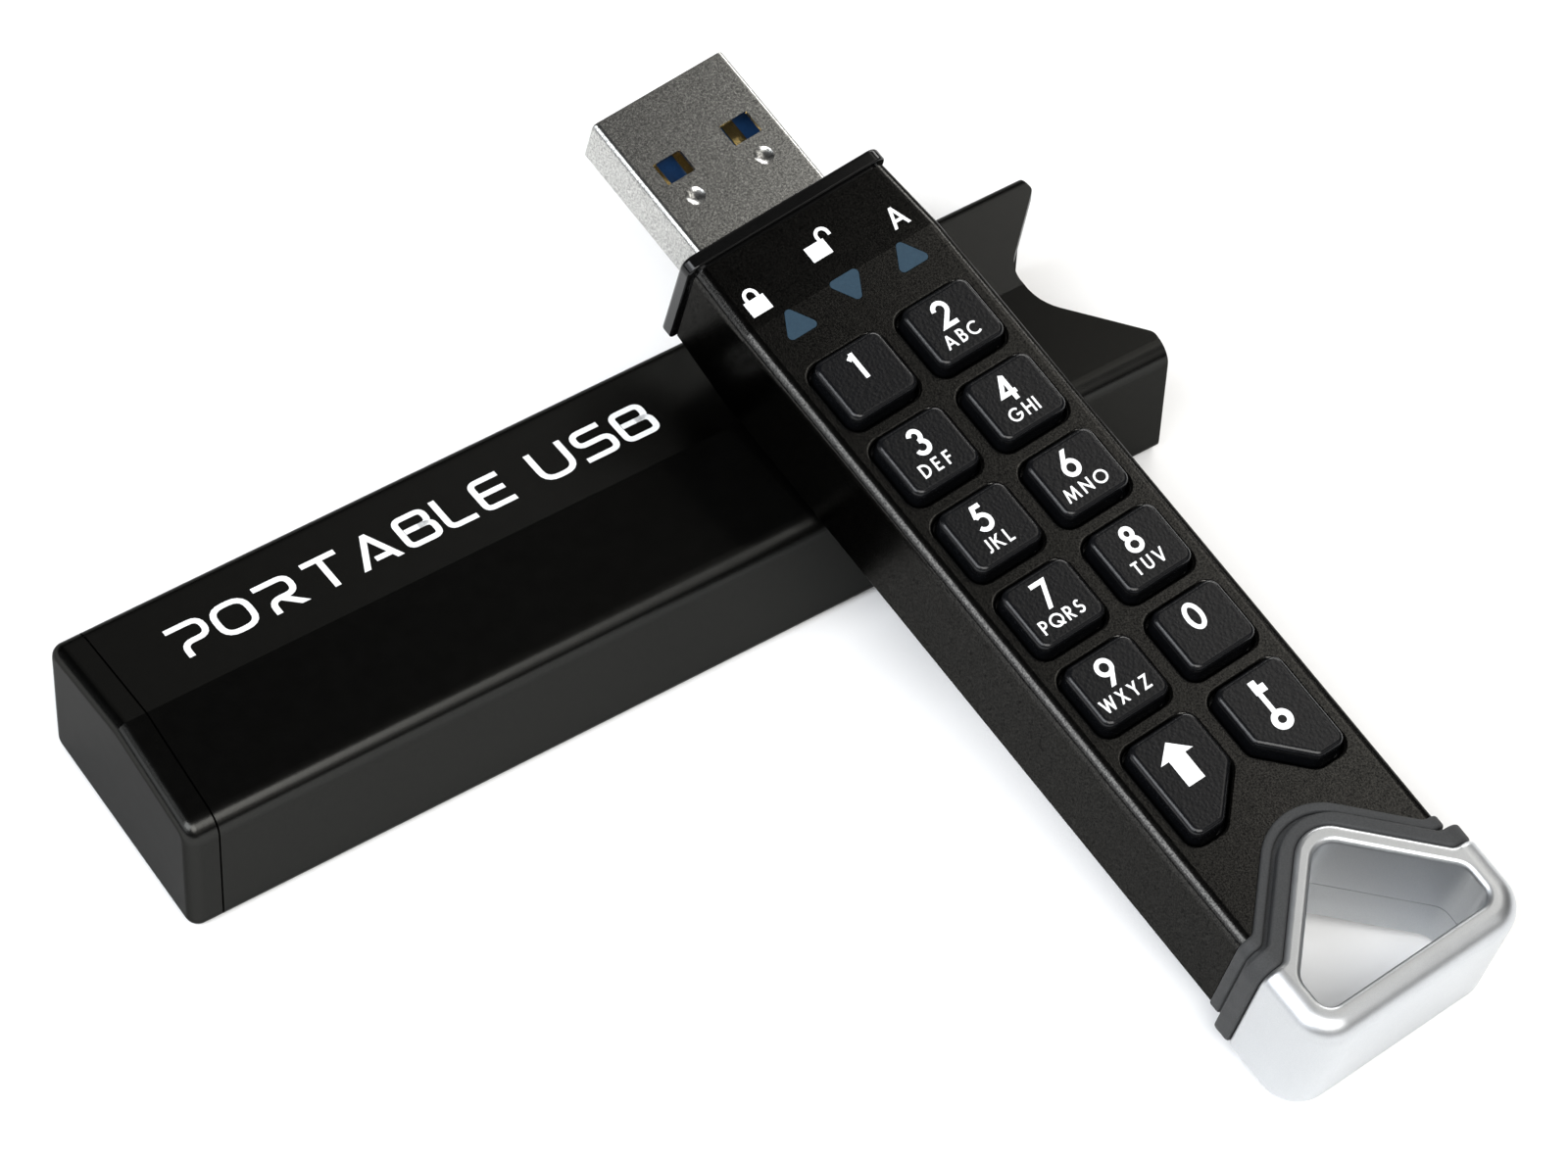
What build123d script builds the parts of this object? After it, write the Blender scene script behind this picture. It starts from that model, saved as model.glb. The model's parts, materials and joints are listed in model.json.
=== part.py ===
from build123d import *
import math
import os

# USB flash drive with a push-button keypad, lying across its own protective sleeve.
# All lengths are in millimetres. The sleeve stands on Z = 0 with its length along X.
# The drive is drawn on the plane DRIVE: X across, Y towards the plug, Z up from its underside.

# --- sleeve -----------------------------------------------------------------------------
SLEEVE_LENGTH = 82.5
SLEEVE_HALF_WIDTH = 9.95
SLEEVE_EDGE_HEIGHT = 11.75
SLEEVE_RIDGE_HEIGHT = 13.2
SLEEVE_WALL = 0.85
SLEEVE_TOP_RADIUS = 1.6
SLEEVE_FLOOR_RADIUS = 1.2
CAP_THICKNESS = 2.55
CAP_EDGE_RADIUS = 1.0
CAP_SPIGOT = 1.5
SPIGOT_HOLE_WIDTH = 15.0
SPIGOT_HOLE_HEIGHT = 7.5
SPIGOT_HOLE_RADIUS = 1.0
SEAM_GAP = 0.06
SEAM_BEVEL = 0.08
MOUTH_DEPTH = 7.95
MOUTH_RADIUS = 4.2

# --- plug -------------------------------------------------------------------------------
PLUG_WIDTH = 12.0
PLUG_HEIGHT = 4.5
PLUG_REACH = 13.65
PLUG_INNER_END = -9.0
PLUG_FLOOR = 1.7
PLUG_TOP = PLUG_FLOOR + PLUG_HEIGHT
PLUG_CENTRE = PLUG_FLOOR + PLUG_HEIGHT / 2
PLUG_BEND = 0.5
PLUG_WALL = 0.3
PLUG_LIP_RADIUS = 0.15
WINDOW_WIDTH = 2.5
WINDOW_LENGTH = 1.95
WINDOW_X = 3.05
WINDOW_Y = PLUG_REACH - 6.04
WINDOW_RADIUS = 0.12
DIMPLE_RADIUS = 0.75
DIMPLE_DEPTH = 0.2
DIMPLE_X = WINDOW_X + 0.1
DIMPLE_Y = WINDOW_Y - 2.7
TONGUE_WIDTH = 11.2
TONGUE_HEIGHT = 1.85
TONGUE_START = PLUG_INNER_END + 0.5
TONGUE_END = PLUG_REACH - 0.6
TONGUE_RADIUS = 0.25
CONTACT_RISE = 0.12
LONG_CONTACT_X = 3.5
LONG_CONTACT_Y = 8.2
INNER_CONTACT_X = 1.0
INNER_CONTACT_Y = 8.7
LONG_CONTACT_WIDTH = 1.0
LONG_CONTACT_LENGTH = 6.5
SHORT_CONTACT_PITCH = 2.0
SHORT_CONTACT_Y = 2.4
SHORT_CONTACT_WIDTH = 0.7
SHORT_CONTACT_LENGTH = 2.2
REAR_BLOCK_FRONT = -3.0
REAR_BLOCK_END = PLUG_INNER_END + 0.2

# --- housing and front plate ------------------------------------------------------------
HOUSING_HALF_WIDTH = 9.0
HOUSING_TOP = 9.87
HOUSING_FRONT = -1.5
HOUSING_TOP_RADIUS = 1.0
HOUSING_FLOOR_RADIUS = 0.4
LEAD_IN_LENGTH = 6.0
LEAD_IN_DEPTH = 0.3
CAVITY_HALF_WIDTH = 8.0
CAVITY_FLOOR = 1.0
CAVITY_TOP = 8.85
CAVITY_RADIUS = 0.6
PLATE_FRONT = -0.1
PLATE_BACK = -1.22
PLATE_HALF_WIDTH = 9.02
PLATE_FLOOR = -0.1
PLATE_TOP = 9.76
PLATE_EDGE_RADIUS = 0.3
PLATE_BACK_RADIUS = 0.15
PLATE_TENON = 1.7
GROOVE_DEPTH = 0.5

# --- tail: 45 degree flanks that end in flat shoulders ------------------------------------
ARROW_DEPTH = 7.9
ARROW_SHOULDER_RADIUS = 0.8
HOUSING_TAIL = -56.0
HOUSING_TAIL_RADIUS = 4.8
RIB_GROOVE_START = -57.1
RIB_GROOVE_END = -57.5
RIB_GROOVE_RADIUS = 4.2
FRONT_RIB_PROUD = 0.15
FRONT_RIB_TOP = 10.25
GROOVE_PROUD = 0.03
GROOVE_TOP = 9.9
REAR_RIB_PROUD = 0.92
REAR_RIB_TOP = 11.05
RIB_RADIUS = 0.25
LOOP_APEX = -59.05
LOOP_APEX_RADIUS = 2.8
LOOP_HALF_WIDTH = 9.85
LOOP_END = -73.8
LOOP_FLOOR = -0.9
LOOP_TOP = 11.2
LOOP_CORNER_RADIUS = 3.0
LOOP_FLOOR_RADIUS = 1.1
LOOP_TOP_RADIUS = 1.65
LOOP_FLANK_RADIUS = 0.45
LOOP_MIDDLE = (LOOP_FLOOR + LOOP_TOP) / 2
OPENING_APEX = -60.9
OPENING_HALF_WIDTH = 7.65
OPENING_END = -71.5
OPENING_APEX_RADIUS = 1.7
OPENING_SHOULDER_RADIUS = 1.6
OPENING_CORNER_RADIUS = 1.1
OPENING_EDGE_RADIUS = 0.45
PARTING_HEIGHT = 4.15
PARTING_WIDTH = 0.08
PARTING_DEPTH = 0.1
TENON_START = -57.4
TENON_LENGTH = 8.6

# --- keypad -----------------------------------------------------------------------------
LEFT_KEYS = ["key_1", "key_3", "key_5", "key_7", "key_9", "key_arrow"]
RIGHT_KEYS = ["key_2", "key_4", "key_6", "key_8", "key_0", "key_unlock"]
LAST_ROW = len(LEFT_KEYS) - 1
KEY_WIDTH = 5.93
KEY_LENGTH = 5.42
LAST_KEY_LENGTH = 8.15
LAST_KEY_CUT = 3.4
KEY_X = 3.985
KEYPAD_TOP = -12.35
KEY_PITCH = 7.17
KEY_CORNER_RADIUS = 0.85
KEY_EDGE_RADIUS = 0.42
KEY_TOP = HOUSING_TOP + 1.2
KEY_GAP = 0.2
LIP_RADIUS = 0.35
FLANGE_MARGIN = 0.3
FLANGE_FLOOR = 8.25
FLANGE_TOP = 8.75
STEM_RADIUS = 1.2
STEM_FLOOR = 7.52
WEB_HOLE_MARGIN = 0.4

# --- lights -----------------------------------------------------------------------------
GUIDE_NAMES = ["light_guide_locked", "light_guide_unlocked", "light_guide_activity"]
GUIDE_X = 5.1
GUIDE_WIDTH = 3.0
GUIDE_HEIGHT = 2.55
GUIDE_UPRIGHT_BASE = -9.65
GUIDE_INVERTED_BASE = -7.33
GUIDE_CORNER_RADIUS = 0.35
GUIDE_FLOOR = 7.5

# --- inside -----------------------------------------------------------------------------
FIT = 0.03
BOARD_FLOOR = 6.25
BOARD_TOP = 6.85
BOARD_START = -3.6
BOARD_END = -57.0
BOARD_WIDTH = 15.6
DOME_FILM = 0.08
DOME_RISE = 0.22
DOME_RADIUS = 2.1
DOME_TAPER = 60
SHEET_MARGIN = 0.2
SHEET_START = KEYPAD_TOP + 0.5
WEB_FLOOR = 7.35
WEB_THICKNESS = 0.4
TRAY_START = -9.3
TRAY_END = -57.1
TRAY_WIDTH = 15.9
TRAY_WALL = 0.8
BATTERY_WIDTH = 12.0
BATTERY_LENGTH = 30.0
BATTERY_HEIGHT = 3.1
BATTERY_Y = -29.0
BATTERY_RADIUS = 0.8
TRAY_RADIUS = 0.6
LAMP_WIDTH = 1.6
LAMP_LENGTH = 0.8
LAMP_HEIGHT = 0.5
SIDE_LAMP_Y = -8.6
MIDDLE_LAMP_Y = -8.3

# --- working sizes: how far cuts overrun, and when two places count as the same -------------
CUT = 5.0
CUT_WIDTH = 12.0
CUT_HEIGHT = 30.0
PASS = 1.0
RIB_SECTION = -50.0
SAME = 0.01
ALIGNED = 0.98
PROBE = 0.5

# --- how the drive lies: its loop on the floor, its body over the sleeve's front edge -----
DRIVE_YAW = math.radians(5.8)
DRIVE_PITCH = math.radians(12.0)
DRIVE_X = 17.9
DRIVE_Y = 9.54
FLOOR_GAP = 0.02
DRIVE_Z = (
    FLOOR_GAP
    + LOOP_FLOOR_RADIUS
    - (LOOP_FLOOR + LOOP_FLOOR_RADIUS) * math.cos(DRIVE_PITCH)
    - (LOOP_END + LOOP_FLOOR_RADIUS) * math.sin(DRIVE_PITCH)
)
DRIVE = Plane(
    origin=(DRIVE_X, DRIVE_Y, DRIVE_Z),
    x_dir=(math.cos(DRIVE_YAW), math.sin(DRIVE_YAW), 0),
    z_dir=(
        math.sin(DRIVE_YAW) * math.sin(DRIVE_PITCH),
        -math.cos(DRIVE_YAW) * math.sin(DRIVE_PITCH),
        math.cos(DRIVE_PITCH),
    ),
)
DRIVE_UP = Axis(DRIVE.origin, DRIVE.z_dir)
DRIVE_FORWARD = Axis(DRIVE.origin, DRIVE.y_dir)

# The sleeve seen from above with its mouth at the bottom of the page.
SLEEVE_TOP_VIEW = Plane(origin=(0, 0, 0), x_dir=(0, 1, 0), z_dir=(0, 0, 1))
SLEEVE_MOUTH = SLEEVE_LENGTH / 2
SEAM = CAP_THICKNESS - SLEEVE_LENGTH / 2


def level(height):
    """Plane parallel to the drive's underside."""
    return DRIVE.offset(height)


def section(y, height=0.0):
    """Cross-section plane of the drive; an extrusion from it runs towards the loop."""
    return Plane(origin=DRIVE.from_local_coords((0, y, height)), x_dir=DRIVE.x_dir, z_dir=-DRIVE.y_dir)


def sleeve_outline(plane, inset=0.0):
    """Flat-bottomed outline of the sleeve with its shallow ridged top, drawn in by an inset."""
    half_width = SLEEVE_HALF_WIDTH - inset
    edge = SLEEVE_EDGE_HEIGHT - inset
    with BuildSketch(plane) as outline:
        with BuildLine():
            Polyline(
                (-half_width, inset),
                (half_width, inset),
                (half_width, edge),
                (0, SLEEVE_RIDGE_HEIGHT - inset),
                (-half_width, edge),
                close=True,
            )
        make_face()
        fillet(outline.vertices().group_by(Axis.Y)[0], SLEEVE_FLOOR_RADIUS - inset)
        edge_corners = outline.vertices().filter_by(lambda corner: abs(corner.Y - edge) < SAME)
        fillet(edge_corners, SLEEVE_TOP_RADIUS - inset)
    return outline.sketch


def box_outline(plane, half_width, floor, top):
    """Square-cornered cross-section between two heights."""
    with BuildSketch(plane) as outline:
        with Locations((0, (floor + top) / 2)):
            Rectangle(2 * half_width, top - floor)
    return outline.sketch


def soft_outline(plane, half_width, floor, top, swell=0.0):
    """Cross-section with the housing's corner radii, grown by the height it is swollen."""
    with BuildSketch(plane) as outline:
        with Locations((0, (floor + top) / 2)):
            Rectangle(2 * half_width, top - floor)
        fillet(outline.vertices().group_by(Axis.Y)[-1], HOUSING_TOP_RADIUS + swell)
        fillet(outline.vertices().group_by(Axis.Y)[0], HOUSING_FLOOR_RADIUS + swell)
    return outline.sketch


def housing_outline(plane, inset=0.0):
    """Outline of the drive's metal housing, drawn in by an even inset."""
    return soft_outline(plane, HOUSING_HALF_WIDTH - inset, inset, HOUSING_TOP - inset)


def gasket_outline(plane, proud, top):
    """Housing outline swollen to the height of a rubber rib, with softer corners."""
    return soft_outline(plane, HOUSING_HALF_WIDTH + proud, -proud, top, proud)


def arrow_outline(plane, apex, depth, half_width, end, apex_radius, end_radius=0.0):
    """Everything behind an arrowhead that points up the plane: apex, flanks, flat shoulders."""
    with BuildSketch(plane) as outline:
        with BuildLine():
            Polyline(
                (-half_width, end),
                (half_width, end),
                (half_width, apex - depth),
                (depth, apex - depth),
                (0, apex),
                (-depth, apex - depth),
                (-half_width, apex - depth),
                close=True,
            )
        make_face()
        if end_radius > 0:
            fillet(outline.vertices().group_by(Axis.Y)[0], end_radius)
        shoulders = outline.vertices().filter_by(lambda corner: abs(abs(corner.X) - depth) < SAME)
        fillet(shoulders, ARROW_SHOULDER_RADIUS)
        fillet(outline.vertices().sort_by(Axis.Y)[-1], apex_radius)
    return outline.sketch


def opening_outline(plane, margin=0.0):
    """Home-plate shaped finger opening of the loop, grown by a margin."""
    shoulder = OPENING_APEX - OPENING_HALF_WIDTH
    with BuildSketch(plane) as outline:
        with BuildLine():
            Polyline(
                (-OPENING_HALF_WIDTH, OPENING_END),
                (OPENING_HALF_WIDTH, OPENING_END),
                (OPENING_HALF_WIDTH, shoulder),
                (0, OPENING_APEX),
                (-OPENING_HALF_WIDTH, shoulder),
                close=True,
            )
        make_face()
        fillet(outline.vertices().group_by(Axis.Y)[0], OPENING_CORNER_RADIUS)
        shoulders = outline.vertices().filter_by(lambda corner: abs(corner.Y - shoulder) < SAME)
        fillet(shoulders, OPENING_SHOULDER_RADIUS)
        fillet(outline.vertices().sort_by(Axis.Y)[-1], OPENING_APEX_RADIUS)
        if margin > 0:
            offset(amount=margin)
    return outline.sketch


def is_in_opening(point):
    """Whether a point, in the drive's own axes, lies inside the finger opening."""
    flank = OPENING_APEX - abs(point.X)
    return abs(point.X) < OPENING_HALF_WIDTH and OPENING_END < point.Y < flank


def key_centre(column, row):
    """Middle of a key; column is -1 for the left one and 1 for the right one."""
    length = LAST_KEY_LENGTH if row == LAST_ROW else KEY_LENGTH
    return (column * KEY_X, KEYPAD_TOP - row * KEY_PITCH - length / 2)


def key_outline(plane, column, row, margin=0.0):
    """Rounded key outline; the last row is longer and loses its inner rear corner."""
    length = LAST_KEY_LENGTH if row == LAST_ROW else KEY_LENGTH
    with BuildSketch(plane) as outline:
        with Locations(key_centre(column, row)):
            Rectangle(KEY_WIDTH, length)
        if row == LAST_ROW:
            rear = outline.vertices().group_by(Axis.Y)[0]
            chamfer(rear.sort_by(lambda corner: abs(corner.X))[0], LAST_KEY_CUT)
        fillet(outline.vertices(), KEY_CORNER_RADIUS)
        if margin > 0:
            offset(amount=margin)
    return outline.sketch


def guide_outline(plane, index, margin=0.0):
    """Rounded triangle of a light guide; the middle one points at the keys."""
    centre = (index - 1) * GUIDE_X
    base = GUIDE_INVERTED_BASE if index == 1 else GUIDE_UPRIGHT_BASE
    height = -GUIDE_HEIGHT if index == 1 else GUIDE_HEIGHT
    with BuildSketch(plane) as outline:
        with BuildLine():
            Polyline(
                (centre - GUIDE_WIDTH / 2, base),
                (centre + GUIDE_WIDTH / 2, base),
                (centre, base + height),
                close=True,
            )
        make_face()
        fillet(outline.vertices(), GUIDE_CORNER_RADIUS)
        if margin > 0:
            offset(amount=margin)
    return outline.sketch


def block_outline(plane, width, start, end):
    """Rectangle across the drive between two places along it."""
    with BuildSketch(plane) as outline:
        with Locations((0, (start + end) / 2)):
            Rectangle(width, start - end)
    return outline.sketch


def plug_outline(plane, margin=0.0):
    """Rounded outline of the plug's shell, grown or shrunk by a margin."""
    with BuildSketch(plane) as outline:
        with Locations((0, PLUG_CENTRE)):
            RectangleRounded(PLUG_WIDTH + 2 * margin, PLUG_HEIGHT + 2 * margin, PLUG_BEND + margin)
    return outline.sketch


def cavity_outline(plane, margin=0.0):
    """Outline of the space inside the housing."""
    with BuildSketch(plane) as outline:
        with Locations((0, (CAVITY_FLOOR + CAVITY_TOP) / 2)):
            width = 2 * (CAVITY_HALF_WIDTH - margin)
            RectangleRounded(width, CAVITY_TOP - CAVITY_FLOOR - 2 * margin, CAVITY_RADIUS)
    return outline.sketch


def finish(part, name):
    """Name a finished piece and write its file."""
    part.label = name
    export_step(part, f"parts/{name}.step")


def height_of(edge):
    """How far the middle of an edge lies above the drive's underside."""
    return DRIVE.to_local_coords(edge @ 0.5).Z


def place_of(edge):
    """How far forward the middle of an edge lies along the drive."""
    return DRIVE.to_local_coords(edge @ 0.5).Y


def rib_blank(front, front_radius, rear, rear_radius, proud, top, edge_radius=0.0):
    """One rubber rib: a band between two arrow-shaped ends, swollen past the housing."""
    with BuildPart() as rib:
        band_front = arrow_outline(level(-CUT), front, ARROW_DEPTH, CUT_WIDTH, LOOP_END, front_radius)
        extrude(band_front, amount=CUT_HEIGHT)
        band_rear = arrow_outline(
            level(-CUT), rear, ARROW_DEPTH, CUT_WIDTH + PASS, LOOP_END - PASS, rear_radius
        )
        extrude(band_rear, amount=CUT_HEIGHT, mode=Mode.SUBTRACT)
        extrude(gasket_outline(section(RIB_SECTION), proud, top), amount=CUT_HEIGHT, mode=Mode.INTERSECT)
        if edge_radius > 0:
            top_edges = rib.edges().filter_by(lambda edge: abs(height_of(edge) - top) < SAME)
            lengthwise = top_edges.filter_by(DRIVE_FORWARD)
            fillet([edge for edge in top_edges if edge not in lengthwise], edge_radius)
    return rib.part


KEYS = [(-1, row, name) for row, name in enumerate(LEFT_KEYS)]
KEYS += [(1, row, name) for row, name in enumerate(RIGHT_KEYS)]
os.makedirs("parts", exist_ok=True)

# --- sleeve: an aluminium tube with a notched mouth and a closing cap -----------------------
with BuildPart() as sleeve_tube:
    extrude(sleeve_outline(Plane.YZ.offset(SEAM)), amount=SLEEVE_MOUTH - SEAM)
    bore_outline = sleeve_outline(Plane.YZ.offset(SEAM), SLEEVE_WALL)
    extrude(bore_outline, amount=SLEEVE_MOUTH - SEAM, mode=Mode.SUBTRACT)
    mouth_notch = arrow_outline(
        SLEEVE_TOP_VIEW,
        MOUTH_DEPTH - SLEEVE_MOUTH,
        MOUTH_DEPTH,
        CUT_WIDTH,
        -SLEEVE_MOUTH - CUT,
        MOUTH_RADIUS,
    )
    extrude(mouth_notch, amount=SLEEVE_RIDGE_HEIGHT + CUT, mode=Mode.SUBTRACT)
finish(sleeve_tube.part, "sleeve_tube")

with BuildPart() as sleeve_end_cap:
    extrude(sleeve_outline(Plane.YZ.offset(-SLEEVE_LENGTH / 2)), amount=CAP_THICKNESS - SEAM_GAP)
    fillet(sleeve_end_cap.faces().sort_by(Axis.X)[0].edges(), CAP_EDGE_RADIUS)
    chamfer(sleeve_end_cap.faces().sort_by(Axis.X)[-1].edges(), SEAM_BEVEL)
    spigot_outline = sleeve_outline(Plane.YZ.offset(SEAM - SEAM_GAP), SLEEVE_WALL + FIT)
    extrude(spigot_outline, amount=CAP_SPIGOT)
    with BuildSketch(Plane.YZ.offset(SEAM - SEAM_GAP + CAP_SPIGOT)):
        with Locations((0, SLEEVE_EDGE_HEIGHT / 2)):
            RectangleRounded(SPIGOT_HOLE_WIDTH, SPIGOT_HOLE_HEIGHT, SPIGOT_HOLE_RADIUS)
    extrude(amount=-CAP_SPIGOT, mode=Mode.SUBTRACT)
finish(sleeve_end_cap.part, "sleeve_end_cap")

# --- housing: one extruded aluminium body with the keypad openings --------------------------
with BuildPart() as housing:
    body_start = HOUSING_FRONT - LEAD_IN_LENGTH
    extrude(housing_outline(section(body_start)), amount=body_start - LOOP_END)
    lead_in_front = housing_outline(section(HOUSING_FRONT), LEAD_IN_DEPTH)
    loft([lead_in_front.face(), housing_outline(section(body_start)).face()])
    extrude(cavity_outline(section(0)), amount=-LOOP_END, mode=Mode.SUBTRACT)
    tail_cut = arrow_outline(
        level(-CUT), HOUSING_TAIL, ARROW_DEPTH, CUT_WIDTH, LOOP_END - CUT, HOUSING_TAIL_RADIUS
    )
    extrude(tail_cut, amount=CUT_HEIGHT, mode=Mode.SUBTRACT)
    for column, row, name in KEYS:
        extrude(key_outline(level(CAVITY_TOP - 1), column, row, KEY_GAP), amount=CUT, mode=Mode.SUBTRACT)
    roof_faces = housing.faces().filter_by(
        lambda face: face.normal_at().dot(DRIVE.z_dir) > ALIGNED and len(face.inner_wires()) > 0
    )
    lips = [edge for face in roof_faces for wire in face.inner_wires() for edge in wire.edges()]
    fillet(lips, LIP_RADIUS)
    for index in range(len(GUIDE_NAMES)):
        extrude(guide_outline(level(CAVITY_TOP - 1), index, FIT), amount=CUT, mode=Mode.SUBTRACT)
finish(housing.part, "housing")

with BuildPart() as front_plate:
    plate_outline = soft_outline(section(PLATE_FRONT), PLATE_HALF_WIDTH, PLATE_FLOOR, PLATE_TOP)
    extrude(plate_outline, amount=PLATE_FRONT - PLATE_BACK)
    fillet(front_plate.faces().sort_by(DRIVE_FORWARD)[-1].edges(), PLATE_EDGE_RADIUS)
    fillet(front_plate.faces().sort_by(DRIVE_FORWARD)[0].edges(), PLATE_BACK_RADIUS)
    extrude(housing_outline(section(PLATE_BACK), GROOVE_DEPTH), amount=PLATE_BACK - HOUSING_FRONT)
    extrude(cavity_outline(section(HOUSING_FRONT), FIT), amount=PLATE_TENON)
    extrude(plug_outline(section(CUT), FIT), amount=2 * CUT, mode=Mode.SUBTRACT)
finish(front_plate.part, "front_plate")

# --- plug: pressed steel shell with windows, latching dimples and a blue tongue -------------
with BuildPart() as usb_shell:
    extrude(plug_outline(section(PLUG_REACH)), amount=PLUG_REACH - PLUG_INNER_END)
    fillet(usb_shell.faces().sort_by(DRIVE_FORWARD)[-1].edges(), PLUG_LIP_RADIUS)
    extrude(plug_outline(section(PLUG_REACH + PASS), -PLUG_WALL), amount=CUT_HEIGHT, mode=Mode.SUBTRACT)
    with BuildSketch(level(PLUG_FLOOR - PASS)):
        with Locations((-WINDOW_X, WINDOW_Y), (WINDOW_X, WINDOW_Y)):
            RectangleRounded(WINDOW_WIDTH, WINDOW_LENGTH, WINDOW_RADIUS)
    extrude(amount=PLUG_HEIGHT + 2 * PASS, mode=Mode.SUBTRACT)
    dimple_ball = (DIMPLE_RADIUS**2 + DIMPLE_DEPTH**2) / (2 * DIMPLE_DEPTH)
    dimple_height = PLUG_TOP + dimple_ball - DIMPLE_DEPTH
    for side in (-1, 1):
        with Locations(DRIVE.from_local_coords((side * DIMPLE_X, DIMPLE_Y, dimple_height))):
            Sphere(dimple_ball, mode=Mode.SUBTRACT)
finish(usb_shell.part, "usb_shell")

tongue_floor = PLUG_FLOOR + PLUG_WALL + FIT
tongue_top = tongue_floor + TONGUE_HEIGHT
with BuildPart() as usb_tongue:
    tongue_plan = block_outline(level(tongue_floor), TONGUE_WIDTH, TONGUE_END, TONGUE_START)
    extrude(tongue_plan, amount=TONGUE_HEIGHT)
    fillet(usb_tongue.faces().sort_by(DRIVE_FORWARD)[-1].edges(), TONGUE_RADIUS)
finish(usb_tongue.part, "usb_tongue")

with BuildPart() as usb_contacts:
    for side in (-1, 1):
        for contact_x, contact_y in ((LONG_CONTACT_X, LONG_CONTACT_Y), (INNER_CONTACT_X, INNER_CONTACT_Y)):
            with BuildSketch(level(tongue_top)):
                with Locations((side * contact_x, contact_y)):
                    Rectangle(LONG_CONTACT_WIDTH, LONG_CONTACT_LENGTH)
            extrude(amount=CONTACT_RISE)
    with BuildSketch(level(tongue_top)):
        with Locations([(place * SHORT_CONTACT_PITCH, SHORT_CONTACT_Y) for place in range(-2, 3)]):
            Rectangle(SHORT_CONTACT_WIDTH, SHORT_CONTACT_LENGTH)
    extrude(amount=CONTACT_RISE)
finish(usb_contacts.part, "usb_contacts")

with BuildPart() as usb_rear_block:
    block_floor = tongue_top + FIT
    block_top = PLUG_TOP - PLUG_WALL - FIT
    rear_block_plan = block_outline(level(block_floor), TONGUE_WIDTH, REAR_BLOCK_FRONT, REAR_BLOCK_END)
    extrude(rear_block_plan, amount=block_top - block_floor)
finish(usb_rear_block.part, "usb_rear_block")

# --- tail: bare metal loop with a tenon, and the rubber seal behind it ----------------------
with BuildPart() as loop_end:
    loop_section = box_outline(section(LOOP_APEX + PASS), LOOP_HALF_WIDTH, LOOP_FLOOR, LOOP_TOP)
    extrude(loop_section, amount=PASS + LOOP_APEX - LOOP_END)
    loop_plan = arrow_outline(
        level(-CUT), LOOP_APEX, ARROW_DEPTH, LOOP_HALF_WIDTH, LOOP_END, LOOP_APEX_RADIUS, LOOP_CORNER_RADIUS
    )
    extrude(loop_plan, amount=CUT_HEIGHT, mode=Mode.INTERSECT)
    shoulder = LOOP_APEX - ARROW_DEPTH - SAME
    outer_edges = loop_end.edges().filter_by(lambda edge: place_of(edge) < shoulder)
    top_edges = outer_edges.filter_by(lambda edge: abs(height_of(edge) - LOOP_TOP) < SAME)
    fillet(top_edges, LOOP_TOP_RADIUS)
    outer_edges = loop_end.edges().filter_by(lambda edge: place_of(edge) < shoulder)
    floor_edges = outer_edges.filter_by(lambda edge: abs(height_of(edge) - LOOP_FLOOR) < SAME)
    fillet(floor_edges, LOOP_FLOOR_RADIUS)
    flank_edges = loop_end.edges().filter_by(lambda edge: place_of(edge) > shoulder)
    fillet(flank_edges.filter_by(lambda edge: abs(height_of(edge) - LOOP_TOP) < SAME), LOOP_FLANK_RADIUS)
    extrude(cavity_outline(section(TENON_START), FIT), amount=TENON_LENGTH)
    extrude(opening_outline(level(-CUT)), amount=CUT_HEIGHT, mode=Mode.SUBTRACT)
    opening_walls = loop_end.faces().filter_by(
        lambda face: abs(DRIVE.to_local_coords(face.center()).Z - LOOP_MIDDLE) < PROBE
        and abs(face.normal_at().dot(DRIVE.z_dir)) < SAME
        and is_in_opening(DRIVE.to_local_coords(face.center() + face.normal_at() * PROBE))
    )
    opening_rims = [
        edge for edge in opening_walls.edges()
        if abs(edge.tangent_at(0.5).dot(DRIVE.z_dir)) < ALIGNED
    ]
    fillet(opening_rims, OPENING_EDGE_RADIUS)
    parting_plan = opening_outline(level(PARTING_HEIGHT - PARTING_WIDTH / 2), PARTING_DEPTH)
    extrude(parting_plan, amount=PARTING_WIDTH, mode=Mode.SUBTRACT)
finish(loop_end.part, "loop_end")


with BuildPart() as seal_gasket:
    add(rib_blank(HOUSING_TAIL - FIT, HOUSING_TAIL_RADIUS, RIB_GROOVE_START, RIB_GROOVE_RADIUS,
                  FRONT_RIB_PROUD, FRONT_RIB_TOP, RIB_RADIUS))
    add(rib_blank(RIB_GROOVE_START, RIB_GROOVE_RADIUS, RIB_GROOVE_END, RIB_GROOVE_RADIUS,
                  GROOVE_PROUD, GROOVE_TOP))
    add(rib_blank(RIB_GROOVE_END, RIB_GROOVE_RADIUS, LOOP_APEX + FIT, LOOP_APEX_RADIUS,
                  REAR_RIB_PROUD, REAR_RIB_TOP, RIB_RADIUS))
    extrude(cavity_outline(section(RIB_SECTION)), amount=CUT_HEIGHT, mode=Mode.SUBTRACT)
finish(seal_gasket.part, "seal_gasket")

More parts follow.
